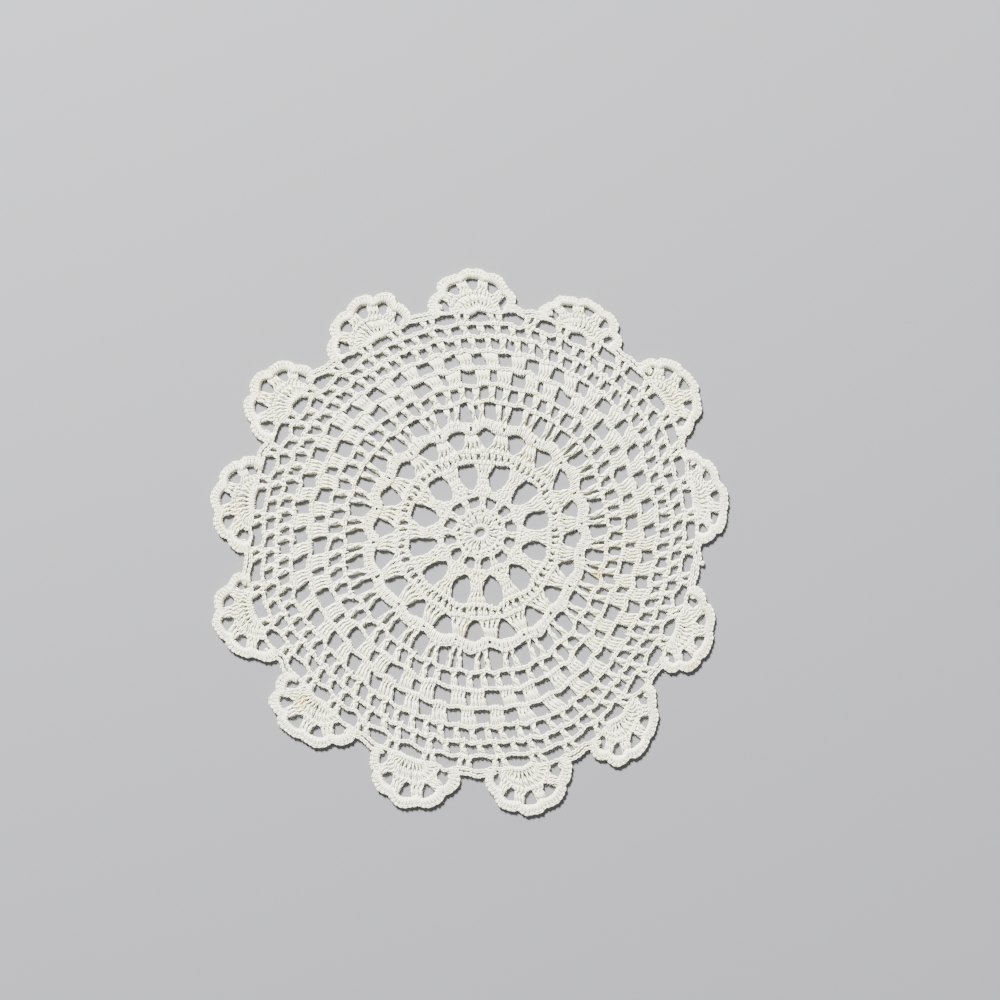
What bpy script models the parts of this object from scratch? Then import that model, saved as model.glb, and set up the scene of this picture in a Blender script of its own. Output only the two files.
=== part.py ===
"""Crocheted lace doily: one flat openwork plate with a scalloped edge of thirteen shells.

All rounds are centred on the rosette. Angles are in degrees, clockwise from +Y as seen from
above. The plate lies on Z = 0 with the middle of its outline at the origin.
"""

import math
from typing import NamedTuple

import bmesh
import bpy

MM = 0.001

THICKNESS = 1.6 * MM  # a post lying flat with another thread crossing it
ROSETTE = (3.9 * MM, 1.9 * MM)  # centre of the rounds, off the middle of the outline
CORD_RADIUS = 83.0 * MM  # centre line of the chain cord that carries the shells
CORD_HALF_WIDTH = 0.9 * MM
EVEN_RADIUS = 48.0 * MM  # inside this the rounds grow steadily truer to a circle
CENTRE_HOLE_RADIUS = 1.8 * MM
CENTRE_HOLE_SIDES = 8

SHELL_LOOPS = 5  # sc-covered loops along the top of one shell
LOOP_POINTS = 4  # outline points on each of them
LOOP_VALLEY = 0.07  # how far the outline dips between loops, as a share of the shell
CORD_STEP_DEG = 4.0  # spacing of outline points between shells

COTTON_COLOUR = (0.80, 0.78, 0.70, 1.0)
COTTON_ROUGHNESS = 0.9


class Stretch(NamedTuple):
    """How far the rounds are pulled out (over 1) or drawn in (under 1) in one direction."""

    angle: float
    ratio: float


class Shell(NamedTuple):
    """One shell: the degrees of its base corners and tip, and the tip's radius in mm."""

    left: float
    tip: float
    right: float
    tip_radius: float


class HoleRound(NamedTuple):
    """A round of like holes; radii and width in mm. Squareness 2 is an oval, 4 a soft square."""

    name: str
    count: int
    first: float
    inner: float
    outer: float
    width: float
    corners: int
    squareness: float


STRETCHES = (
    Stretch(0, 0.991),
    Stretch(30, 0.996),
    Stretch(55, 1.000),
    Stretch(70, 0.953),
    Stretch(85, 0.953),
    Stretch(100, 0.944),
    Stretch(115, 0.953),
    Stretch(130, 0.968),
    Stretch(145, 1.010),
    Stretch(160, 1.043),
    Stretch(175, 1.033),
    Stretch(190, 1.033),
    Stretch(205, 1.024),
    Stretch(220, 1.015),
    Stretch(235, 1.019),
    Stretch(250, 1.052),
    Stretch(265, 1.015),
    Stretch(280, 1.010),
    Stretch(295, 1.010),
    Stretch(310, 1.005),
    Stretch(325, 0.986),
    Stretch(340, 0.986),
)

SHELLS = (
    Shell(-13.5, -2.0, 9.0, 98.3),
    Shell(14.0, 26.0, 37.0, 95.4),
    Shell(42.5, 54.0, 65.0, 97.2),
    Shell(67.5, 81.5, 93.0, 91.4),
    Shell(103.0, 117.0, 126.5, 93.6),
    Shell(131.0, 144.0, 153.0, 99.1),
    Shell(158.0, 169.5, 179.0, 103.8),
    Shell(184.0, 196.0, 206.5, 103.1),
    Shell(210.5, 225.0, 234.0, 100.9),
    Shell(237.5, 250.5, 260.5, 102.7),
    Shell(264.5, 278.0, 289.0, 99.3),
    Shell(292.0, 304.5, 314.0, 101.3),
    Shell(318.5, 332.5, 342.0, 98.3),
)

HOLE_ROUNDS = (
    HoleRound("large hole", 12, -12.0, 17.0, 25.6, 6.8, 8, 4.0),
    HoleRound("arch hole", 20, 4.0, 31.4, 37.6, 5.4, 6, 3.0),
    HoleRound("tall hole", 30, 5.0, 41.4, 47.9, 4.2, 6, 3.0),
    HoleRound("gap between pairs", 20, 13.0, 55.7, 60.6, 3.8, 4, 2.0),
    HoleRound("square hole", 40, -0.5, 62.6, 66.9, 3.9, 4, 2.0),
    HoleRound("edge arch", 40, -0.5, 79.0, 81.9, 7.8, 6, 2.0),
)


def clear_scene():
    """Removes whatever objects the open file holds."""
    for thing in list(bpy.data.objects):
        bpy.data.objects.remove(thing, do_unlink=True)


def stretch_at(angle):
    """The ratio at any angle: a smooth curve through the rows of STRETCHES."""
    angle %= 360.0
    count = len(STRETCHES)
    row = max(i for i in range(count) if STRETCHES[i].angle <= angle)

    def knot(i):
        turns, at = divmod(i, count)
        return STRETCHES[at].angle + 360.0 * turns, STRETCHES[at].ratio

    (a0, r0), (a1, r1), (a2, r2), (a3, r3) = (knot(row + i) for i in (-1, 0, 1, 2))
    span = a2 - a1
    slope1 = (r2 - r0) / (a2 - a0) * span
    slope2 = (r3 - r1) / (a3 - a1) * span
    t = (angle - a1) / span
    return (
        r1 * (1 + 2 * t) * (1 - t) ** 2
        + slope1 * t * (1 - t) ** 2
        + r2 * t**2 * (3 - 2 * t)
        - slope2 * t**2 * (1 - t)
    )


def place(angle, radius):
    """Where a point at this angle and nominal radius lies on the uneven doily."""
    share = min(radius / EVEN_RADIUS, 1.0)
    radius *= 1.0 + (stretch_at(angle) - 1.0) * share * share * (3.0 - 2.0 * share)
    turn = math.radians(angle)
    return ROSETTE[0] + radius * math.sin(turn), ROSETTE[1] + radius * math.cos(turn)


def shell_outline(shell):
    """Points over the five looped bumps of one shell, left to right."""
    middle = (shell.left + shell.right) / 2
    half = (shell.right - shell.left) / 2
    height = shell.tip_radius * MM / stretch_at(shell.tip) - CORD_RADIUS
    points = []
    for i in range(SHELL_LOOPS * LOOP_POINTS + 1):
        turn = math.pi * i / (SHELL_LOOPS * LOOP_POINTS)
        reach = 1.0 - LOOP_VALLEY * (1.0 - abs(math.sin(SHELL_LOOPS * turn)))
        lean = (shell.tip - middle) * math.sin(turn)
        angle = middle + lean - half * math.cos(turn) * reach
        rise = max(height * math.sin(turn) * reach, CORD_HALF_WIDTH)
        points.append(place(angle, CORD_RADIUS + rise))
    return points


def cord_outline(start, end):
    """Points along the bare cord between two shells."""
    steps = max(2, round((end - start) / CORD_STEP_DEG))
    angles = (start + (end - start) * i / steps for i in range(1, steps))
    return [place(angle, CORD_RADIUS + CORD_HALF_WIDTH) for angle in angles]


def outline():
    """The doily's edge, once round."""
    points = []
    for i, shell in enumerate(SHELLS):
        following = SHELLS[(i + 1) % len(SHELLS)]
        wrap = 360.0 if i == len(SHELLS) - 1 else 0.0
        points += shell_outline(shell)
        points += cord_outline(shell.right, following.left + wrap)
    return points


def hole_outline(row, angle):
    """One hole of a round: a soft square or an oval, as wide and as deep as its row says."""
    middle = (row.inner + row.outer) / 2 * MM
    points = []
    for i in range(row.corners):
        turn = 2 * math.pi * (i + 0.5) / row.corners
        across, along = math.cos(turn), math.sin(turn)
        reach = (abs(across) ** row.squareness + abs(along) ** row.squareness) ** (
            -1 / row.squareness
        )
        radius = middle + (row.outer - row.inner) / 2 * MM * along * reach
        sideways = row.width / 2 * MM * across * reach
        points.append(place(angle + math.degrees(sideways / middle), radius))
    return points


def centre_hole():
    """The ring that the first round is worked into."""
    step = 360.0 / CENTRE_HOLE_SIDES
    return [place(i * step, CENTRE_HOLE_RADIUS) for i in range(CENTRE_HOLE_SIDES)]


def all_loops():
    """The outline and every hole, as closed loops of points."""
    loops = [outline(), centre_hole()]
    for row in HOLE_ROUNDS:
        step = 360.0 / row.count
        loops += [hole_outline(row, row.first + i * step) for i in range(row.count)]
    return loops


def cotton():
    """Matt off-white cotton."""
    material = bpy.data.materials.new("cotton")
    material.use_nodes = True
    shader = material.node_tree.nodes["Principled BSDF"]
    shader.inputs["Base Color"].default_value = COTTON_COLOUR
    shader.inputs["Roughness"].default_value = COTTON_ROUGHNESS
    shader.inputs["Metallic"].default_value = 0.0
    return material


def make_doily():
    """Fills the outline round its holes and raises it to the cloth's thickness."""
    bm = bmesh.new()
    for loop in all_loops():
        verts = [bm.verts.new((x, y, 0.0)) for x, y in loop]
        for i, vert in enumerate(verts):
            bm.edges.new((vert, verts[i - 1]))
    bmesh.ops.triangle_fill(bm, use_beauty=True, edges=bm.edges[:], normal=(0, 0, 1))
    raised = bmesh.ops.extrude_face_region(bm, geom=bm.faces[:], use_keep_orig=True)
    upper = [part for part in raised["geom"] if isinstance(part, bmesh.types.BMVert)]
    bmesh.ops.translate(bm, verts=upper, vec=(0.0, 0.0, THICKNESS))
    bmesh.ops.recalc_face_normals(bm, faces=bm.faces[:])
    mesh = bpy.data.meshes.new("doily")
    bm.to_mesh(mesh)
    bm.free()
    mesh.materials.append(cotton())
    doily = bpy.data.objects.new("doily", mesh)
    bpy.context.scene.collection.objects.link(doily)
    return doily


clear_scene()
make_doily()
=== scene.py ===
"""Crocheted lace doily laid flat, worked stitch by stitch in one cotton thread.

Lengths in the tables and stitch classes are millimetres. Angles are degrees, clockwise from
+Y as seen from above, round the centre of the rosette.
"""

import logging
import math
from collections.abc import Sequence
from dataclasses import dataclass, field
from enum import Enum
from typing import NamedTuple

import bmesh
import bpy
import numpy as np
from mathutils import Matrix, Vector


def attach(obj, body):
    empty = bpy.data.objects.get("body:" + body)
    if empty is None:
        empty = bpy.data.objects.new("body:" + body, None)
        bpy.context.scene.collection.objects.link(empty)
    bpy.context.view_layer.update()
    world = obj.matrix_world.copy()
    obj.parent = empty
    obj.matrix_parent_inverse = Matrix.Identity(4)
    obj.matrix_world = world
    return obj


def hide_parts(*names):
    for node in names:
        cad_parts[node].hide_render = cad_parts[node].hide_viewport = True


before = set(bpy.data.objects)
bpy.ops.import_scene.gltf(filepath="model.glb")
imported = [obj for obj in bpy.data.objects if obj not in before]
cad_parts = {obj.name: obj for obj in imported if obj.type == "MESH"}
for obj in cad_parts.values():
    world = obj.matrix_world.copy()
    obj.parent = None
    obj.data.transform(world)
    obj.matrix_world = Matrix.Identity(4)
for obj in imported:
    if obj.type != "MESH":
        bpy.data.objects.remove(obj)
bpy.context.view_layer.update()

MM = 0.001
NODE = "doily"
BODY = "root"
SEED = 20

log = logging.getLogger("doily")


class Zone(Enum):
    """Which piece a group of posts belongs to."""

    CENTRE = "centre"
    ARCHES = "arches"
    BLOCKS = "blocks"
    MESH = "mesh"


class Stretch(NamedTuple):
    """How far the rounds are pulled out (over 1) or drawn in (under 1) in one direction."""

    angle: float
    ratio: float


class ShellRow(NamedTuple):
    """One shell: the arch it fills, its base corners and tip, and the tip's radius."""

    arch: int
    left: float
    tip: float
    right: float
    tip_radius: float


class Braid(NamedTuple):
    """The row of stitch heads and chains that closes a round.

    Its centre line swings by wave either side of radius, furthest out at crest.
    """

    name: str
    radius: float
    waves: int
    crest: float
    wave: float


class Group(NamedTuple):
    """A round of like groups of posts between two braids.

    The spreads are the degrees from a group's first post to its last, and the halves are
    half the distance between a post's legs.
    """

    zone: Zone
    base: str
    top: str
    count: int
    first: float
    posts: int
    base_spread: float
    top_spread: float
    lean: float
    base_half: float
    top_half: float
    wraps: int


class Lamp(NamedTuple):
    """A soft square light that faces the doily: its place and size in metres, its watts."""

    name: str
    place: tuple[float, float, float]
    size: float
    power: float


class Stain(NamedTuple):
    """An old spot: its middle, how far it reaches, how strong it is there, and its colour."""

    x: float
    y: float
    reach: float
    strength: float
    colour: tuple[float, float, float]


STRETCHES = (
    Stretch(0, 0.991),
    Stretch(30, 0.996),
    Stretch(55, 1.000),
    Stretch(70, 0.953),
    Stretch(85, 0.953),
    Stretch(100, 0.944),
    Stretch(115, 0.953),
    Stretch(130, 0.968),
    Stretch(145, 1.010),
    Stretch(160, 1.043),
    Stretch(175, 1.033),
    Stretch(190, 1.033),
    Stretch(205, 1.024),
    Stretch(220, 1.015),
    Stretch(235, 1.019),
    Stretch(250, 1.052),
    Stretch(265, 1.015),
    Stretch(280, 1.010),
    Stretch(295, 1.010),
    Stretch(310, 1.005),
    Stretch(325, 0.986),
    Stretch(340, 0.986),
)

SHELLS = (
    ShellRow(0, -13.5, -2.0, 9.0, 98.3),
    ShellRow(3, 14.0, 26.0, 37.0, 95.4),
    ShellRow(6, 42.5, 54.0, 65.0, 97.2),
    ShellRow(9, 67.5, 81.5, 93.0, 91.4),
    ShellRow(13, 103.0, 117.0, 126.5, 93.6),
    ShellRow(16, 131.0, 144.0, 153.0, 99.1),
    ShellRow(19, 158.0, 169.5, 179.0, 103.8),
    ShellRow(22, 184.0, 196.0, 206.5, 103.1),
    ShellRow(25, 210.5, 225.0, 234.0, 100.9),
    ShellRow(28, 237.5, 250.5, 260.5, 102.7),
    ShellRow(31, 264.5, 278.0, 289.0, 99.3),
    ShellRow(34, 292.0, 304.5, 314.0, 101.3),
    ShellRow(37, 318.5, 332.5, 342.0, 98.3),
)

BRAIDS = (
    Braid("ring", 2.55, 0, 0.0, 0.0),
    Braid("inner rosette", 6.9, 24, 0.0, 0.1),
    Braid("rosette", 8.8, 12, 3.0, 0.3),
    Braid("pillars", 14.0, 12, -12.0, 0.2),
    Braid("first blocks", 16.3, 12, 3.0, 1.1),
    Braid("fans", 26.3, 12, -12.0, 0.6),
    Braid("palings", 30.3, 20, 4.0, 0.15),
    Braid("clusters", 38.4, 20, 4.0, 0.9),
    Braid("arcs", 41.0, 20, 4.0, 0.9),
    Braid("vees", 49.0, 30, 5.0, 0.3),
    Braid("ladder", 55.2, 20, 4.5, 0.35),
    Braid("paired blocks", 61.6, 40, -0.5, 0.3),
    Braid("blocks", 67.9, 80, 0.0, 0.25),
    Braid("inner mesh", 73.45, 80, 2.25, 0.3),
    Braid("outer mesh", 78.3, 40, 4.0, 0.3),
    Braid("edge cord", 83.0, 40, -0.5, 0.3),
)

GROUPS = (
    Group(Zone.CENTRE, "ring", "inner rosette", 24, 7.5, 1, 0.0, 0.0, 0.0, 0.155, 0.46, 1),
    Group(Zone.CENTRE, "inner rosette", "rosette", 24, 0.0, 1, 0.0, 0.0, 0.0, 0.32, 0.36, 1),
    Group(Zone.CENTRE, "rosette", "pillars", 12, 3.0, 2, 6.0, 6.0, 0.0, 0.32, 0.34, 1),
    Group(Zone.CENTRE, "pillars", "first blocks", 12, 3.0, 4, 13.0, 18.0, -1.0, 0.42, 0.50, 1),
    Group(Zone.ARCHES, "palings", "clusters", 20, 13.0, 4, 12.4, 3.2, -0.6, 0.70, 0.38, 2),
    Group(Zone.ARCHES, "arcs", "vees", 30, -1.0, 2, 2.9, 5.0, -0.5, 0.70, 0.76, 2),
    Group(Zone.BLOCKS, "vees", "ladder", 60, -1.0, 1, 0.0, 0.0, -0.8, 0.98, 0.94, 2),
    Group(Zone.BLOCKS, "ladder", "paired blocks", 20, 1.3, 4, 3.5, 3.9, -1.0, 0.42, 0.45, 2),
    Group(Zone.BLOCKS, "ladder", "paired blocks", 20, 8.7, 4, 3.5, 3.9, -1.0, 0.42, 0.45, 2),
    Group(Zone.BLOCKS, "paired blocks", "blocks", 40, 4.5, 4, 2.9, 3.8, -1.6, 0.42, 0.45, 2),
    Group(Zone.MESH, "blocks", "inner mesh", 80, 2.8, 1, 0.0, 0.0, -1.0, 0.94, 0.94, 2),
    Group(Zone.MESH, "inner mesh", "outer mesh", 80, 0.5, 1, 0.0, 0.0, -1.0, 0.98, 0.96, 2),
    Group(Zone.MESH, "outer mesh", "edge cord", 40, 4.2, 2, 1.8, 2.7, -0.4, 0.82, 0.84, 2),
)

# The old spots: a strong small one, and faint ones that have spread.
STAINS = (
    Stain(46.8, -13.3, 3.0, 1.0, (0.66, 0.44, 0.07)),
    Stain(-61.1, -59.0, 5.0, 0.75, (0.78, 0.72, 0.26)),
    Stain(80.4, -46.2, 4.5, 0.75, (0.74, 0.56, 0.26)),
    Stain(43.1, -55.4, 4.0, 0.70, (0.76, 0.70, 0.26)),
    Stain(0.0, -34.2, 7.0, 0.60, (0.78, 0.70, 0.38)),
)

LAMPS = (
    Lamp("key", (-0.75, 1.60, 1.30), 0.42, 325.0),
    Lamp("fill", (0.55, -0.45, 0.90), 1.2, 3.0),
)

CENTRE_BRAIDS = ("ring", "inner rosette", "rosette", "pillars", "first blocks", "fans", "palings")


@dataclass(frozen=True)
class Cotton:
    """Three-ply crochet cotton: how thick it is and how its plies turn.

    Attributes:
        diameter: Thread width.
        ply_swell: How far the plies stand out of the round, as a share of the radius.
        lay: Length of thread in which the plies make one turn.
    """

    diameter: float = 0.70
    ply_swell: float = 0.10
    lay: float = 5.0

    def rest(self) -> float:
        """Gives the height of the thread's middle where it lies on the surface."""
        return self.diameter / 2 * (1 + self.ply_swell)

    def profile(self) -> bpy.types.Object:
        """Makes the cross-section that a thread is swept with.

        Returns:
            A closed curve of three rounded plies, for the bevel of a curve.
        """
        plies = 3
        points = []
        for i in range(2 * plies):
            turn = math.pi * i / plies
            swell = self.ply_swell if i % 2 == 0 else -self.ply_swell
            reach = self.diameter / 2 * MM * (1 + swell)
            points.append((reach * math.cos(turn), reach * math.sin(turn)))
        return make_profile("thread section", points)


@dataclass(frozen=True)
class Chart:
    """Places a nominal angle and radius on the uneven, hand-worked doily.

    Attributes:
        centre: The rosette's centre.
        even_radius: Inside this radius the rounds grow steadily truer.
        wobble: How far the handwork strays.
        wobble_length: Over what distance it strays.
    """

    centre: tuple[float, float] = (3.9, 1.9)
    even_radius: float = 48.0
    wobble: float = 0.22
    wobble_length: float = 9.0

    def stretch(self, angle: np.ndarray) -> np.ndarray:
        """Reads the smooth curve through the rows of STRETCHES.

        Args:
            angle: Any angles.

        Returns:
            The ratio at each angle.
        """
        knots = np.array([row.angle for row in STRETCHES])
        ratios = np.array([row.ratio for row in STRETCHES])
        count = len(knots)
        angle = np.mod(angle, 360.0)
        row = np.searchsorted(knots, angle, side="right") - 1

        def knot(step: int) -> tuple[np.ndarray, np.ndarray]:
            """Gives the knot some steps from each angle's own, once round if need be."""
            at = row + step
            return knots[at % count] + 360.0 * (at // count), ratios[at % count]

        (a0, r0), (a1, r1), (a2, r2), (a3, r3) = (knot(step) for step in (-1, 0, 1, 2))
        span = a2 - a1
        t = (angle - a1) / span
        slope1 = (r2 - r0) / (a2 - a0) * span
        slope2 = (r3 - r1) / (a3 - a1) * span
        return (
            r1 * (1 + 2 * t) * (1 - t) ** 2
            + slope1 * t * (1 - t) ** 2
            + r2 * t**2 * (3 - 2 * t)
            - slope2 * t**2 * (1 - t)
        )

    def at(self, angle: np.ndarray | float, radius: np.ndarray | float) -> np.ndarray:
        """Finds places on the doily.

        Args:
            angle: Nominal angles.
            radius: Nominal radii.

        Returns:
            An array whose last axis is x, y.
        """
        angle, radius = np.broadcast_arrays(
            np.asarray(angle, float), np.asarray(radius, float)
        )
        share = np.minimum(radius / self.even_radius, 1.0)
        reach = radius * (1.0 + (self.stretch(angle) - 1.0) * share**2 * (3 - 2 * share))
        turn = np.radians(angle)
        x = self.centre[0] + reach * np.sin(turn)
        y = self.centre[1] + reach * np.cos(turn)
        k = 2 * math.pi / self.wobble_length
        stray = self.wobble * share
        return np.stack(
            [
                x + stray * (np.sin(k * y + 1.3) + 0.6 * np.sin(k * (0.7 * x - y) * 1.7)),
                y + stray * (np.sin(k * x + 4.1) + 0.6 * np.sin(k * (0.6 * y + x) * 1.9)),
            ],
            axis=-1,
        )


class Line:
    """A line across the cloth that stitches are laid along, read by distance."""

    def __init__(self, points: np.ndarray, closed: bool = False) -> None:
        """Measures the line.

        Args:
            points: x, y rows close enough together to show its curves.
            closed: Whether its end meets its start.
        """
        if closed:
            points = np.vstack([points, points[:1]])
        self.points = points
        self.closed = closed
        steps = np.linalg.norm(np.diff(points, axis=0), axis=1)
        self.marks = np.concatenate([[0.0], np.cumsum(steps)])
        self.length = float(self.marks[-1])

    def at(self, distance: np.ndarray) -> np.ndarray:
        """Finds places along it, on past its ends if need be.

        Args:
            distance: Distances from its start.

        Returns:
            x, y rows.
        """
        if self.closed:
            distance = np.mod(distance, self.length)
        inside = np.clip(distance, 0.0, self.length)
        place = np.stack(
            [np.interp(inside, self.marks, self.points[:, i]) for i in (0, 1)], axis=-1
        )
        past = (distance - inside)[..., None]
        start = self.points[1] - self.points[0]
        end = self.points[-1] - self.points[-2]
        heading = np.where(
            past < 0, start / np.linalg.norm(start), end / np.linalg.norm(end)
        )
        return place + past * heading

    def side(self, distance: np.ndarray, reach: float = 0.35) -> np.ndarray:
        """Finds which way is left as one goes along it.

        Args:
            distance: Distances from its start.
            reach: How far ahead and behind the heading is read.

        Returns:
            Unit x, y rows.
        """
        ahead = self.at(distance + reach) - self.at(distance - reach)
        ahead /= np.maximum(np.linalg.norm(ahead, axis=-1, keepdims=True), 1e-9)
        return np.stack([-ahead[..., 1], ahead[..., 0]], axis=-1)


def make_profile(name: str, points: Sequence[tuple[float, float]]) -> bpy.types.Object:
    """Makes a closed flat curve to sweep along other curves.

    Args:
        name: The curve's name.
        points: Its corners in metres.

    Returns:
        The profile object, not shown.
    """
    data = bpy.data.curves.new(name, "CURVE")
    data.dimensions = "2D"
    spline = data.splines.new("POLY")
    spline.points.add(len(points) - 1)
    for point, (x, y) in zip(spline.points, points, strict=True):
        point.co = (x, y, 0.0, 1.0)
    spline.use_cyclic_u = True
    return bpy.data.objects.new(name, data)


class Skein:
    """Lengths of thread waiting to be swept into one mesh."""

    def __init__(
        self, name: str, profile: bpy.types.Object, rest: float, lay: float = 0.0
    ) -> None:
        """Starts an empty skein.

        Args:
            name: The name of the piece it becomes.
            profile: The cross-section to sweep.
            rest: Height of the section's middle where it lies on the surface.
            lay: Length in which the section makes one turn, or 0 to keep it level.
        """
        self.name = name
        self.profile = profile
        self.rest = rest
        self.lay = lay
        self.lengths: list[tuple[np.ndarray, bool, np.ndarray]] = []

    def add(
        self, points: np.ndarray, closed: bool = False, width: np.ndarray | float = 1.0
    ) -> None:
        """Adds one length.

        Args:
            points: x, y, z rows.
            closed: Whether it joins up.
            width: Scale of the section at each point.
        """
        width = np.broadcast_to(np.asarray(width, float), len(points))
        points = points.copy()
        points[:, 2] = np.maximum(points[:, 2], self.rest)
        self.lengths.append((points, closed, width))

    def sweep(self) -> bpy.types.Object:
        """Sweeps every length.

        Returns:
            A mesh object at the origin with its faces outwards.
        """
        data = bpy.data.curves.new(self.name, "CURVE")
        data.dimensions = "3D"
        data.bevel_mode = "OBJECT"
        data.bevel_object = self.profile
        data.use_fill_caps = True
        data.twist_mode = "MINIMUM" if self.lay else "Z_UP"
        for points, closed, width in self.lengths:
            spline = data.splines.new("POLY")
            count = len(points)
            spline.points.add(count - 1)
            rows = np.ones((count, 4))
            rows[:, :3] = points * MM
            spline.points.foreach_set("co", rows.ravel())
            spline.points.foreach_set("radius", width)
            if self.lay:
                steps = np.linalg.norm(np.diff(points, axis=0), axis=1)
                turns = np.concatenate([[0.0], np.cumsum(steps)]) / self.lay
                spline.points.foreach_set("tilt", turns * 2 * math.pi)
            spline.use_cyclic_u = closed
            spline.use_smooth = True
        swept = bpy.data.objects.new(self.name, data)
        bpy.context.scene.collection.objects.link(swept)
        bpy.context.view_layer.update()
        graph = bpy.context.evaluated_depsgraph_get()
        mesh = bpy.data.meshes.new_from_object(swept.evaluated_get(graph))
        bpy.data.objects.remove(swept)
        bpy.data.curves.remove(data)
        mesh.name = self.name
        if volume_of(mesh) < 0:
            mesh.flip_normals()
        piece = bpy.data.objects.new(self.name, mesh)
        bpy.context.scene.collection.objects.link(piece)
        return piece


def volume_of(mesh: bpy.types.Mesh) -> float:
    """Works out a closed mesh's signed volume, below zero where its faces point in.

    Args:
        mesh: The mesh.

    Returns:
        The volume in cubic metres.
    """
    places = np.empty(len(mesh.vertices) * 3, np.float32)
    mesh.vertices.foreach_get("co", places)
    places = places.reshape(-1, 3).astype(float)
    mesh.calc_loop_triangles()
    corners = np.empty(len(mesh.loop_triangles) * 3, np.int32)
    mesh.loop_triangles.foreach_get("vertices", corners)
    a, b, c = (places[corners.reshape(-1, 3)[:, i]] for i in range(3))
    return float(np.einsum("ij,ij->", a, np.cross(b, c)) / 6)


@dataclass
class Hook:
    """Works stitches: it lays thread into one skein and backing strips into another.

    Attributes:
        chart: Where things lie.
        thread: The skein for thread.
        ground: The skein for the soft backing that fills the stitches from below.
        random: The hand's small unevenness.
        chain_pitch: Length of one chain or stitch head.
        chain_half: Half the distance between a chain's two legs.
        middle: Height of the cloth's middle.
        ground_level: Height of the backing.
        least_half: Strands closer than this at the base are squeezed thinner there.
        strip_half: Half width of a post that a backing strip of width 1 fills.
    """

    chart: Chart
    thread: Skein
    ground: Skein
    random: np.random.Generator
    chain_pitch: float = 1.75
    chain_half: float = 0.46
    middle: float = 0.82
    ground_level: float = 0.48
    least_half: float = 0.30
    strip_half: float = 0.55

    # Along, across and up for one chain: out to the left leg, over the head, back down the
    # right leg, then the bump behind that leads to the next.
    CHAIN = np.array(
        [
            (0.00, -0.15, -0.24),
            (0.26, -0.64, 0.04),
            (0.60, -1.00, 0.26),
            (1.00, -0.72, 0.06),
            (1.20, 0.00, -0.14),
            (1.00, 0.72, 0.06),
            (0.60, 1.00, 0.26),
            (0.26, 0.64, 0.04),
            (0.10, 0.10, -0.26),
            (0.60, 0.00, -0.40),
        ]
    )

    # A leg's place across its post, from the base past where it crosses the other to the top,
    # and how far before or after the crossing that is, as a share of the post.
    CROSSING = (1.15, 0.90, -0.85, -0.95, -1.05)
    CROSSING_AT = (-0.36, -0.12, 0.12, 0.36, 0.64)

    # Where a post's legs start: behind the braid below, over its top, down its front.
    HOOK_ALONG = (-0.72, -0.30, 0.35)
    HOOK_UP = (0.42, 1.10, 1.14)

    def chain(self, line: Line, half: float | None = None, lift: float = 0.0) -> None:
        """Works a chain along a line.

        Args:
            line: The chain's centre line.
            half: Half the distance between its legs, if not the usual one.
            lift: How far it stands above the cloth's middle.
        """
        half = half or self.chain_half
        count = max(2, round(line.length / self.chain_pitch))
        pitch = line.length / count
        starts = np.arange(count)[:, None] * pitch
        along = starts + self.CHAIN[None, :, 0] * pitch
        tension = self.random.normal(1.0, 0.07, (count, 1))
        across = self.CHAIN[None, :, 1] * half * tension
        up = np.broadcast_to(self.middle + lift + self.CHAIN[None, :, 2], along.shape)
        along, across, up = along.ravel(), across.ravel(), up.ravel()
        if not line.closed:
            keep = along <= line.length + 0.25 * pitch
            along, across, up = along[keep], across[keep], up[keep]
        flat = line.at(along) + line.side(along) * across[:, None]
        self.thread.add(np.column_stack([flat, up]), closed=line.closed)
        marks = np.linspace(0.0, line.length, max(3, count + 1))
        if line.closed:
            marks = marks[:-1]
        height = np.full(len(marks), self.ground_level)
        self.ground.add(
            np.column_stack([line.at(marks), height]), closed=line.closed, width=0.9
        )

    def post(
        self,
        base: np.ndarray,
        top: np.ndarray,
        base_half: float,
        top_half: float,
        wraps: int = 1,
    ) -> None:
        """Works one post: two crossing strands hooked round the braid below, and wraps.

        Args:
            base: x, y on the centre of the braid that it is worked into.
            top: x, y on the centre of its own braid.
            base_half: Half the strands' distance apart at the base.
            top_half: The same at the top.
            wraps: How many times the strand that the hook carries round shows.
        """
        axis = top - base
        length = float(np.linalg.norm(axis))
        axis = axis / length
        sideways = np.array([-axis[1], axis[0]])
        body = np.linspace(1.0, length - 0.05, 5)
        along = np.concatenate([self.HOOK_ALONG, body])
        share = np.clip(along / length, 0.0, 1.0)
        half = base_half + (top_half - base_half) * share
        cross = self.random.normal(0.36, 0.05)
        shape = np.interp(share - cross, self.CROSSING_AT, self.CROSSING)
        over_by = 0.26 * np.exp(-(((share - cross) / 0.2) ** 2))
        crowding = min(1.0, base_half / self.least_half)
        width = crowding + (1.0 - crowding) * np.clip(share * 1.4, 0.0, 1.0)
        for sign in (-1, 1):
            across = sign * half * shape * self.random.normal(1.0, 0.06)
            up = self.middle + sign * over_by
            up[:3] = self.HOOK_UP
            up[-1] = self.middle - 0.22
            flat = base + along[:, None] * axis + across[:, None] * sideways
            self.thread.add(np.column_stack([flat, up]), width=width)
        for step in range(wraps):
            self.wrap(base, axis, sideways, length, (base_half + top_half) / 2, step)
        marks = np.array([0.0, 0.5, 1.0]) * length
        thick = np.array([base_half, (base_half + top_half) / 2, top_half]) / self.strip_half
        level = np.full(3, self.ground_level)
        self.ground.add(
            np.column_stack([base + marks[:, None] * axis, level]), width=thick
        )

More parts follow.
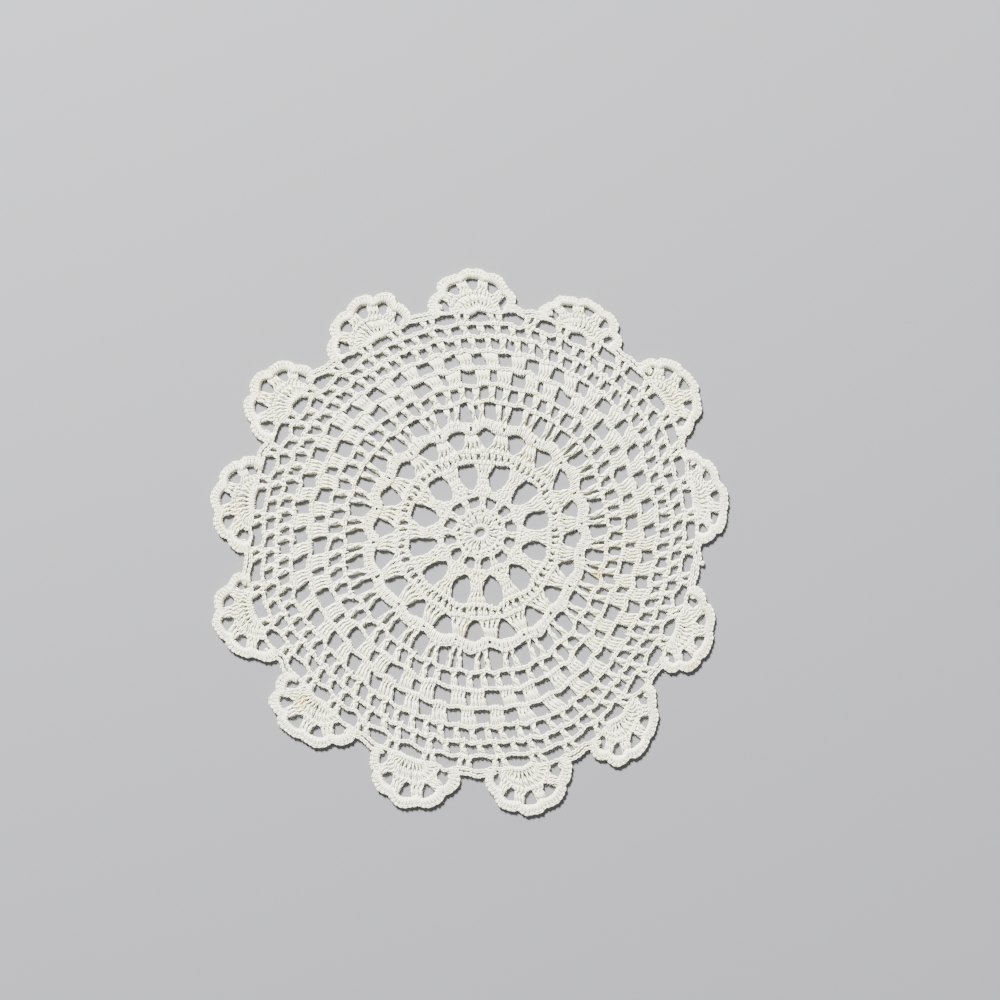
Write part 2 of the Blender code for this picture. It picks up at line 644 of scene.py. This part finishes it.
    def wrap(
        self,
        base: np.ndarray,
        axis: np.ndarray,
        sideways: np.ndarray,
        length: float,
        half: float,
        step: int,
    ) -> None:
        """Lays one slanting strand across the front of a post.

        Args:
            base: x, y of the post's base.
            axis: Unit vector up the post.
            sideways: Unit vector to its left.
            length: The post's length.
            half: Half its legs' distance apart.
            step: Which wrap it is, counted down from the top.
        """
        across = np.array([-0.95, -0.65, 0.0, 0.65, 0.95]) * half
        along = np.array([0.44, 0.52, 0.64, 0.76, 0.88]) * length - 0.8 * step
        up = self.middle + np.array([-0.25, 0.22, 0.44, 0.30, -0.22])
        flat = base + along[:, None] * axis + across[:, None] * sideways
        self.thread.add(np.column_stack([flat, up]))

    def single(self, base: np.ndarray, top: np.ndarray, half: float) -> None:
        """Works one single crochet: a short pair of strands closed over a chain.

        Args:
            base: x, y on the chain that it covers.
            top: x, y on its own braid.
            half: Half the strands' distance apart.
        """
        axis = top - base
        length = float(np.linalg.norm(axis))
        axis = axis / length
        sideways = np.array([-axis[1], axis[0]])
        along = np.array([-0.62, -0.45, 0.05, 0.5 * length, length - 0.15, length])
        up = np.array([0.42, 0.88, 1.20, 1.10, 0.92, 0.50])
        for sign in (-1, 1):
            lean = np.array([0.9, 0.9, 1.0, 0.9, 0.6, 0.2]) * sign * half
            flat = base + along[:, None] * axis + lean[:, None] * sideways
            self.thread.add(np.column_stack([flat, up]))
        marks = np.array([-0.3, length])
        level = np.full(2, self.ground_level)
        self.ground.add(
            np.column_stack([base + marks[:, None] * axis, level]), width=half / self.strip_half
        )


@dataclass
class Rounds:
    """The doily's rounds as one plan, shared by the pieces that are made from it.

    Attributes:
        chart: Where things lie.
        sway: How far a braid strays to either side, as the hand's pull varies.
        sway_length: Over what distance it strays: a full swing takes 2 pi times this.
        stray: How far a group of posts sits from its place, typically.
    """

    chart: Chart = field(default_factory=Chart)
    sway: float = 0.24
    sway_length: float = 1.8
    stray: float = 0.36

    def braid(self, name: str) -> Braid:
        """Finds a braid by name."""
        return next(row for row in BRAIDS if row.name == name)

    def radius(self, name: str, angle: np.ndarray | float) -> np.ndarray:
        """Finds how far out a braid's centre line runs.

        Args:
            name: The braid.
            angle: Nominal angles.

        Returns:
            Its nominal radius at each.
        """
        row = self.braid(name)
        turn = np.radians(np.asarray(angle, float))
        swing = np.cos((turn - math.radians(row.crest)) * row.waves) * (row.waves > 0)
        slow = round(row.radius / self.sway_length)
        quick = round(1.7 * row.radius / self.sway_length)
        stray = np.sin(slow * turn + row.radius) + 0.8 * np.sin(quick * turn + 2.3 * row.radius)
        return row.radius + row.wave * swing + self.sway * stray

    def line(self, name: str) -> Line:
        """Draws a whole braid's centre line."""
        angle = np.arange(0.0, 360.0, 0.25)
        return Line(self.chart.at(angle, self.radius(name, angle)), closed=True)

    def work_zone(self, hook: Hook, zone: Zone) -> None:
        """Works every group of posts in one zone."""
        for row in GROUPS:
            if row.zone is zone:
                self.work_group(hook, row)

    def work_group(self, hook: Hook, row: Group) -> None:
        """Works one row of the table of groups.

        Args:
            hook: The hook to work with.
            row: The groups.
        """
        for i in range(row.count):
            middle = row.first + 360.0 / row.count * i
            stray = hook.random.normal(0.0, self.stray, 2) * 57.3 / self.braid(row.top).radius
            for j in range(row.posts):
                share = j / (row.posts - 1) - 0.5 if row.posts > 1 else 0.0
                foot = middle + share * row.base_spread + stray[0]
                head = middle + share * row.top_spread + row.lean + stray[1]
                hook.post(
                    self.chart.at(foot, self.radius(row.base, foot)),
                    self.chart.at(head, self.radius(row.top, head)),
                    row.base_half,
                    row.top_half,
                    wraps=row.wraps,
                )


@dataclass
class CentreRounds:
    """Rosette, pillars, first blocks, hourglass columns and the ring of short posts.

    Attributes:
        plan: The rounds as a whole.
        column_first: Angle of the first column's middle.
        columns: How many columns there are.
        column_posts: Posts in each, below its waist and again above.
        waist_radius: Where the columns are narrowest.
        waist_spread: Degrees from a column's first post to its last there.
        column_base_spread: The same at its base.
        column_top_spread: The same at its top.
        palings: How many short posts the outer ring has.
        paling_first: Angle of the first.
        paling_stray: How many degrees they sit from their places, typically.
        hidden_half: Half width of a chain that the stitches over it hide.
        hidden_lift: How low such a chain lies, below zero.
    """

    plan: Rounds
    column_first: float = 3.0
    columns: int = 12
    column_posts: int = 4
    waist_radius: float = 20.2
    waist_spread: float = 6.8
    column_base_spread: float = 17.0
    column_top_spread: float = 12.5
    palings: int = 80
    paling_first: float = 1.0
    paling_stray: float = 0.5
    hidden_half: float = 0.30
    hidden_lift: float = -0.28

    def work(self, hook: Hook) -> None:
        """Works every stitch of these rounds."""
        for name in CENTRE_BRAIDS:
            if name in ("ring", "inner rosette"):
                hook.chain(self.plan.line(name), self.hidden_half, self.hidden_lift)
            else:
                hook.chain(self.plan.line(name))
        self.plan.work_zone(hook, Zone.CENTRE)
        self.work_columns(hook)
        self.work_palings(hook)

    def work_columns(self, hook: Hook) -> None:
        """Works the twelve columns: four posts drawn together, then a fan of four."""
        chart = self.plan.chart
        for i in range(self.columns):
            middle = self.column_first + 360.0 / self.columns * i
            lean, narrow, lift = hook.random.normal((0.0, 1.0, 0.0), (1.0, 0.12, 0.5))
            for j in range(self.column_posts):
                share = j / (self.column_posts - 1) - 0.5
                foot = middle + share * self.column_base_spread
                waist = middle + lean + share * self.waist_spread * narrow
                head = middle + share * self.column_top_spread / narrow
                base = chart.at(foot, self.plan.radius("first blocks", foot))
                middle_place = chart.at(waist, self.waist_radius + lift)
                top = chart.at(head, self.plan.radius("fans", head))
                hook.post(base, middle_place, 0.50, 0.36)
                hook.post(middle_place, top, 0.36, 0.50)

    def work_palings(self, hook: Hook) -> None:
        """Works the ring of short posts that stands on the fans and loops."""
        step = 360.0 / self.palings
        for i in range(self.palings):
            foot = self.paling_first + i * step + hook.random.normal(0.0, self.paling_stray)
            head = foot + hook.random.normal(-0.4, self.paling_stray)
            hook.post(
                self.plan.chart.at(foot, self.plan.radius("fans", foot)),
                self.plan.chart.at(head, self.plan.radius("palings", head)),
                0.56,
                0.58,
            )


@dataclass
class ArchRounds:
    """Clusters with arches between, the covered arcs over them, and the row of vees.

    Attributes:
        plan: The rounds as a whole.
        arcs: How many arcs there are.
        arc_first: Angle of the first arc's middle.
        singles: Single crochets on each.
        covered: Share of an arc's length that they cover.
    """

    plan: Rounds
    arcs: int = 20
    arc_first: float = 4.0
    singles: int = 8
    covered: float = 0.94

    def work(self, hook: Hook) -> None:
        """Works every stitch of these rounds."""
        for name in ("clusters", "arcs", "vees"):
            hook.chain(self.plan.line(name))
        self.plan.work_zone(hook, Zone.ARCHES)
        step = 360.0 / self.arcs
        for i in range(self.arcs):
            for j in range(self.singles):
                share = (j + 0.5) / self.singles - 0.5
                angle = self.arc_first + (i + share * self.covered) * step
                hook.single(
                    self.plan.chart.at(angle, self.plan.radius("clusters", angle)),
                    self.plan.chart.at(angle, self.plan.radius("arcs", angle)),
                    0.36,
                )


@dataclass
class BlockRounds:
    """The ladder of single posts and the two rounds of four-post blocks."""

    plan: Rounds

    def work(self, hook: Hook) -> None:
        """Works every stitch of these rounds."""
        for name in ("ladder", "paired blocks", "blocks"):
            hook.chain(self.plan.line(name))
        self.plan.work_zone(hook, Zone.BLOCKS)


@dataclass
class MeshRounds:
    """The two rounds of open mesh and the cord that carries the shells."""

    plan: Rounds

    def work(self, hook: Hook) -> None:
        """Works every stitch of these rounds."""
        for name in ("inner mesh", "outer mesh", "edge cord"):
            hook.chain(self.plan.line(name))
        self.plan.work_zone(hook, Zone.MESH)


@dataclass
class ShellEdging:
    """Thirteen shells: a fan over an arch, four chunky groups of posts, five covered loops.

    Attributes:
        plan: The rounds that it stands on.
        first_arch: Angle of arch 0.
        arch_step: Degrees from arch to arch.
        fan_posts: Posts in a fan.
        fan_hold: Half the length of cord that the fan's posts are worked over.
        fan_width: The fan's half width, as a share of the shell's.
        fan_height: The fan's height, as a share of the shell's.
        band_inner: Where the covered loops' chain runs, as a share of the shell.
        band_outer: Where their braid runs.
        valley_inner: How far the loops' inner edge dips between two loops.
        valley: How far the outer edge dips there.
        dip_power: Under 1 the loops' tops are rounder.
        tuck: How far the groups reach in under the loops.
        side_turns: How far a group's outer posts stand to its side, at base and top.
        cord_gap: How far outside the edge cord the second cord runs.
        curl_place: Where the turning chain curls, as a share of the shell's half width.
        curl_half: Half the curl's width, as a share of the same.
        curl_height: How high it curls.
        knot_after: The shell that the knot comes after.
        knot_angle: Where the knot sits on the cord.
        knot_out: How far outside the edge cord it sits.
        loops: Covered loops in a shell.
        singles: Single crochets on each.
    """

    plan: Rounds
    first_arch: float = -0.5
    arch_step: float = 9.0
    fan_posts: int = 13
    fan_hold: float = 4.3
    fan_width: float = 0.54
    fan_height: float = 0.45
    band_inner: float = 0.83
    valley_inner: float = 0.13
    band_outer: float = 0.965
    valley: float = 0.115
    dip_power: float = 0.6
    tuck: float = 0.05
    side_turns: tuple[float, float] = (0.17, 0.08)
    cord_gap: float = 1.7
    curl_place: float = 0.76
    curl_half: float = 0.09
    curl_height: float = 1.5
    knot_after: int = 3
    knot_angle: float = 97.8
    knot_out: float = 3.2
    loops: int = 5
    singles: int = 9

    def place(self, row: ShellRow, turn: np.ndarray, wide: float, high: float) -> np.ndarray:
        """Finds places on one of a shell's nested half ovals.

        Args:
            row: The shell.
            turn: 0 at the left corner to pi at the right.
            wide: Share of the shell's width.
            high: Share of its height.

        Returns:
            x, y rows.
        """
        chart = self.plan.chart
        cord = self.plan.braid("edge cord").radius
        arch = self.first_arch + row.arch * self.arch_step
        middle = arch + ((row.left + row.right) / 2 - arch) * wide
        half = (row.right - row.left) / 2
        height = row.tip_radius / float(chart.stretch(np.array(row.tip))) - cord
        lean = (row.tip - middle) * np.sin(turn) * high
        angle = middle + lean - half * wide * np.cos(turn)
        return chart.at(angle, cord + height * high * np.sin(turn))

    def lobed(self, row: ShellRow, share: float, valley: float) -> Line:
        """Draws a half oval with a lobe for each covered loop.

        Args:
            row: The shell.
            share: How far out it runs, as a share of the shell.
            valley: How far it dips between two lobes.

        Returns:
            The open line.
        """
        turn = np.linspace(0.0, math.pi, 120)
        dip = share - valley * (1.0 - np.abs(np.sin(self.loops * turn)) ** self.dip_power)
        return Line(np.stack([self.place(row, t, d, d) for t, d in zip(turn, dip)]))

    def work_cord(self, hook: Hook, row: ShellRow) -> None:
        """Works the second cord, from this shell's right corner to the next one's left."""
        following = SHELLS[(SHELLS.index(row) + 1) % len(SHELLS)]
        end = following.left + (360.0 if following.left < row.left else 0.0)
        angle = np.linspace(row.right - 3.0, end + 3.0, 60)
        outer = self.plan.radius("edge cord", angle) + self.cord_gap
        hook.chain(Line(self.plan.chart.at(angle, outer)))

    def work_curl(self, hook: Hook, row: ShellRow) -> None:
        """Works the turning chain that curls up in the shell's first hole."""
        turn = np.linspace(0.0, math.pi, 24)
        middle, half = (row.left + row.right) / 2, (row.right - row.left) / 2
        wide = self.curl_place - self.curl_half * np.cos(turn) + hook.random.normal(0.0, 0.02)
        rise = self.cord_gap + self.curl_height * np.sin(turn)
        angle = middle - half * wide
        hook.chain(Line(self.plan.chart.at(angle, self.plan.radius("edge cord", angle) + rise)))

    def work_knot(self, hook: Hook) -> None:
        """Ties the small knot that sits outside the cord, where the thread was joined."""
        middle = self.plan.chart.at(
            self.knot_angle, self.plan.braid("edge cord").radius + self.knot_out
        )
        turn = np.linspace(0.0, 4.2 * math.pi, 26)
        reach = 0.62 - 0.022 * turn
        rise = 0.45 + 0.055 * turn
        coil = np.column_stack([reach * np.sin(turn), 1.25 * reach * np.cos(turn), rise])
        coil[:, :2] += middle
        hook.thread.add(coil)

    def work(self, hook: Hook, rows: Sequence[ShellRow]) -> None:
        """Works some of the shells."""
        for row in rows:
            self.work_cord(hook, row)
            self.work_curl(hook, row)
            self.work_fan(hook, row)
            self.work_spokes(hook, row)
            self.work_loops(hook, row)
            if SHELLS.index(row) == self.knot_after:
                self.work_knot(hook)

    def work_fan(self, hook: Hook, row: ShellRow) -> None:
        """Works the fan of posts over the arch and the braid along its top."""
        chart = self.plan.chart
        arch = self.first_arch + row.arch * self.arch_step
        cord = self.plan.braid("edge cord").radius
        for i in range(self.fan_posts):
            turn = math.pi * (i + 0.5) / self.fan_posts
            hold = arch - math.degrees(self.fan_hold / cord) * math.cos(turn)
            base = chart.at(hold, self.plan.radius("edge cord", hold))
            top = self.place(row, np.array(turn), self.fan_width, self.fan_height)
            hook.post(base, top, 0.36, 0.76)
        turns = np.linspace(0.04, math.pi - 0.04, 60)
        rim = Line(self.place(row, turns, self.fan_width, self.fan_height))
        hook.chain(rim, lift=-0.15)

    def work_spokes(self, hook: Hook, row: ShellRow) -> None:
        """Works the four groups of posts between the fan and the covered loops."""
        joint = self.band_inner - self.valley_inner + self.tuck
        for i in range(1, self.loops):
            turn = math.pi * i / self.loops
            for side in (-1, 0, 1):
                foot, head = (np.array(turn + side * step) for step in self.side_turns)
                base = self.place(row, foot, self.fan_width, self.fan_height)
                top = self.place(row, head, joint, joint)
                hook.post(base, top, 0.62, 0.42, wraps=2)

    def work_loops(self, hook: Hook, row: ShellRow) -> None:
        """Works the covered loops and the braid round the shell's edge."""
        inner = self.lobed(row, self.band_inner, self.valley_inner)
        outer = self.lobed(row, self.band_outer, self.valley)
        count = self.loops * self.singles
        for i in range(count):
            share = (i + 0.5) / count
            base = inner.at(np.array(share * inner.length))
            top = outer.at(np.array(share * outer.length))
            hook.single(base, top, 0.25)
        hook.chain(outer, half=0.34)


@dataclass(frozen=True)
class CottonFinish:
    """Matt off-white cotton, creamier in places, with a few old faint stains.

    Attributes:
        light: Colour of the clean thread.
        cream: Colour where it has yellowed.
        roughness: How matt it is.
        sheen: Strength of the fuzz's glow.
    """

    light: tuple[float, float, float] = (0.94, 0.93, 0.75)
    cream: tuple[float, float, float] = (0.88, 0.85, 0.60)
    roughness: float = 0.9
    sheen: float = 0.25

    def material(self) -> bpy.types.Material:
        """Builds the material.

        Returns:
            A node material on Object coordinates.
        """
        material = bpy.data.materials.new("cotton thread")
        material.use_nodes = True
        tree = material.node_tree
        shader = tree.nodes["Principled BSDF"]
        shader.inputs["Roughness"].default_value = self.roughness
        shader.inputs["Sheen Weight"].default_value = self.sheen
        shader.inputs["Sheen Roughness"].default_value = 0.6
        place = tree.nodes.new("ShaderNodeTexCoord")
        noise = tree.nodes.new("ShaderNodeTexNoise")
        noise.inputs["Scale"].default_value = 28.0
        noise.inputs["Detail"].default_value = 4.0
        tree.links.new(place.outputs["Object"], noise.inputs["Vector"])
        ramp = tree.nodes.new("ShaderNodeValToRGB")
        ramp.color_ramp.elements[0].position = 0.38
        ramp.color_ramp.elements[0].color = (*self.light, 1.0)
        ramp.color_ramp.elements[1].position = 0.75
        ramp.color_ramp.elements[1].color = (*self.cream, 1.0)
        tree.links.new(noise.outputs["Fac"], ramp.inputs["Fac"])
        colour = ramp.outputs["Color"]
        for stain in STAINS:
            colour = self.stained(tree, place.outputs["Object"], colour, stain)
        tree.links.new(colour, shader.inputs["Base Color"])
        grain = tree.nodes.new("ShaderNodeTexNoise")
        grain.inputs["Scale"].default_value = 5200.0
        grain.inputs["Detail"].default_value = 2.0
        tree.links.new(place.outputs["Object"], grain.inputs["Vector"])
        bump = tree.nodes.new("ShaderNodeBump")
        bump.inputs["Strength"].default_value = 0.35
        bump.inputs["Distance"].default_value = 0.0001
        tree.links.new(grain.outputs["Fac"], bump.inputs["Height"])
        tree.links.new(bump.outputs["Normal"], shader.inputs["Normal"])
        return material

    def stained(
        self,
        tree: bpy.types.NodeTree,
        place: bpy.types.NodeSocket,
        colour: bpy.types.NodeSocket,
        stain: Stain,
    ) -> bpy.types.NodeSocket:
        """Adds one stain over a colour.

        Args:
            tree: The material's nodes.
            place: Where a point is, in Object coordinates.
            colour: The colour so far.
            stain: The stain.

        Returns:
            The colour with the stain on it.
        """
        distance = tree.nodes.new("ShaderNodeVectorMath")
        distance.operation = "DISTANCE"
        distance.inputs[1].default_value = (stain.x * MM, stain.y * MM, 0.0)
        tree.links.new(place, distance.inputs[0])
        fade = tree.nodes.new("ShaderNodeMapRange")
        fade.interpolation_type = "SMOOTHSTEP"
        fade.inputs["From Min"].default_value = 0.0
        fade.inputs["From Max"].default_value = stain.reach * MM
        fade.inputs["To Min"].default_value = stain.strength
        fade.inputs["To Max"].default_value = 0.0
        tree.links.new(distance.outputs["Value"], fade.inputs["Value"])
        mix = tree.nodes.new("ShaderNodeMix")
        mix.data_type = "RGBA"
        spot = next(x for x in mix.inputs if x.identifier == "B_Color")
        spot.default_value = (*stain.colour, 1.0)
        tree.links.new(fade.outputs["Result"], mix.inputs[0])
        tree.links.new(colour, next(x for x in mix.inputs if x.identifier == "A_Color"))
        return next(x for x in mix.outputs if x.identifier == "Result_Color")


@dataclass
class Studio:
    """Plain pale floor, soft light and a camera almost straight above.

    Attributes:
        span: Width of the view on the floor, in metres.
        distance: Camera to doily, in metres.
        elevation: Degrees above the floor.
        aim: Place in the middle of the view, in metres.
        floor_colour: The floor's plain grey.
        surround: Strength of the even light from all round.
    """

    span: float = 0.3656
    distance: float = 0.75
    elevation: float = 84.0
    aim: tuple[float, float] = (0.011, 0.0141)
    floor_colour: tuple[float, float, float] = (0.20, 0.20, 0.21)
    surround: float = 0.22

    def build(self) -> None:
        """Makes the floor, the lights and the camera."""
        self.make_floor()
        for lamp in LAMPS:
            self.make_light(lamp)
        self.make_world()
        self.make_camera()

    def make_floor(self) -> None:
        """Makes a wide plain floor under the doily."""
        data = bpy.data.meshes.new("floor")
        sheet = bmesh.new()
        bmesh.ops.create_grid(sheet, x_segments=1, y_segments=1, size=3.0)
        sheet.to_mesh(data)
        sheet.free()
        floor = bpy.data.objects.new("floor", data)
        bpy.context.scene.collection.objects.link(floor)
        material = bpy.data.materials.new("floor")
        material.use_nodes = True
        shader = material.node_tree.nodes["Principled BSDF"]
        shader.inputs["Base Color"].default_value = (*self.floor_colour, 1.0)
        shader.inputs["Roughness"].default_value = 0.85
        data.materials.append(material)

    def make_light(self, lamp: Lamp) -> None:
        """Makes one soft light.

        Args:
            lamp: The light's row in the table.
        """
        data = bpy.data.lights.new(lamp.name, "AREA")
        data.shape = "SQUARE"
        data.size = lamp.size
        data.energy = lamp.power
        light = bpy.data.objects.new(lamp.name, data)
        light.location = lamp.place
        light.rotation_euler = (-Vector(lamp.place)).to_track_quat("-Z", "Y").to_euler()
        bpy.context.scene.collection.objects.link(light)

    def make_world(self) -> None:
        """Makes an even pale surround."""
        world = bpy.data.worlds.new("surround")
        world.use_nodes = True
        back = world.node_tree.nodes["Background"]
        back.inputs["Color"].default_value = (1.0, 1.0, 1.0, 1.0)
        back.inputs["Strength"].default_value = self.surround
        bpy.context.scene.world = world

    def make_camera(self) -> None:
        """Makes the camera."""
        data = bpy.data.cameras.new("camera")
        data.sensor_width = 36.0
        data.lens = data.sensor_width * self.distance / self.span
        data.clip_start = 0.01
        camera = bpy.data.objects.new("camera", data)
        rise = math.radians(self.elevation)
        target = Vector((*self.aim, 0.0))
        away = Vector((0.0, -math.cos(rise), math.sin(rise)))
        camera.location = target + away * self.distance
        camera.rotation_euler = (-away).to_track_quat("-Z", "Y").to_euler()
        bpy.context.scene.collection.objects.link(camera)
        bpy.context.scene.camera = camera


@dataclass
class Doily:
    """The whole doily, made in pieces that each hold a few rounds.

    Attributes:
        plan: The rounds as a whole.
        cotton: The thread.
        finish: Its look.
        strip_half: Half the width of a backing strip.
        strip_thick: Half its thickness.
        right_shells: How many of the shells go in the right-hand piece.
    """

    plan: Rounds = field(default_factory=Rounds)
    cotton: Cotton = field(default_factory=Cotton)
    finish: CottonFinish = field(default_factory=CottonFinish)
    strip_half: float = 0.52
    strip_thick: float = 0.20
    right_shells: int = 7

    def strip_corners(self) -> list[tuple[float, float]]:
        """Gives the corners of the backing's flat section."""
        half, thick = self.strip_half * MM, self.strip_thick * MM
        shape = ((1, 0), (0.5, 1), (-0.5, 1), (-1, 0), (-0.5, -1), (0.5, -1))
        return [(x * half, z * thick) for x, z in shape]

    def build(self) -> list[bpy.types.Object]:
        """Works every round.

        Returns:
            The pieces, the backing last.
        """
        material = self.finish.material()
        section = self.cotton.profile()
        strip = make_profile("strip section", self.strip_corners())
        ground = Skein("lace_ground", strip, self.strip_thick)
        edging = ShellEdging(self.plan)
        works = (
            ("centre_rounds", CentreRounds(self.plan).work),
            ("arch_rounds", ArchRounds(self.plan).work),
            ("block_rounds", BlockRounds(self.plan).work),
            ("mesh_rounds", MeshRounds(self.plan).work),
            ("right_shells", lambda hook: edging.work(hook, SHELLS[: self.right_shells])),
            ("left_shells", lambda hook: edging.work(hook, SHELLS[self.right_shells :])),
        )
        pieces = []
        for number, (name, work) in enumerate(works):
            thread = Skein(name, section, self.cotton.rest(), self.cotton.lay)
            random = np.random.default_rng(SEED + number)
            work(Hook(self.plan.chart, thread, ground, random))
            pieces.append(thread.sweep())
        pieces.append(ground.sweep())
        for piece in pieces:
            piece.data.materials.clear()
            piece.data.materials.append(material)
            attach(piece, BODY)
            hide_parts(NODE)
            piece.data.calc_loop_triangles()
            log.info("%s: %d triangles", piece.name, len(piece.data.loop_triangles))
        return pieces


def main() -> None:
    """Builds the doily and its studio."""
    logging.basicConfig(level=logging.INFO, format="%(message)s")
    pieces = Doily().build()
    Studio().build()


if __name__ == "__main__":
    main()
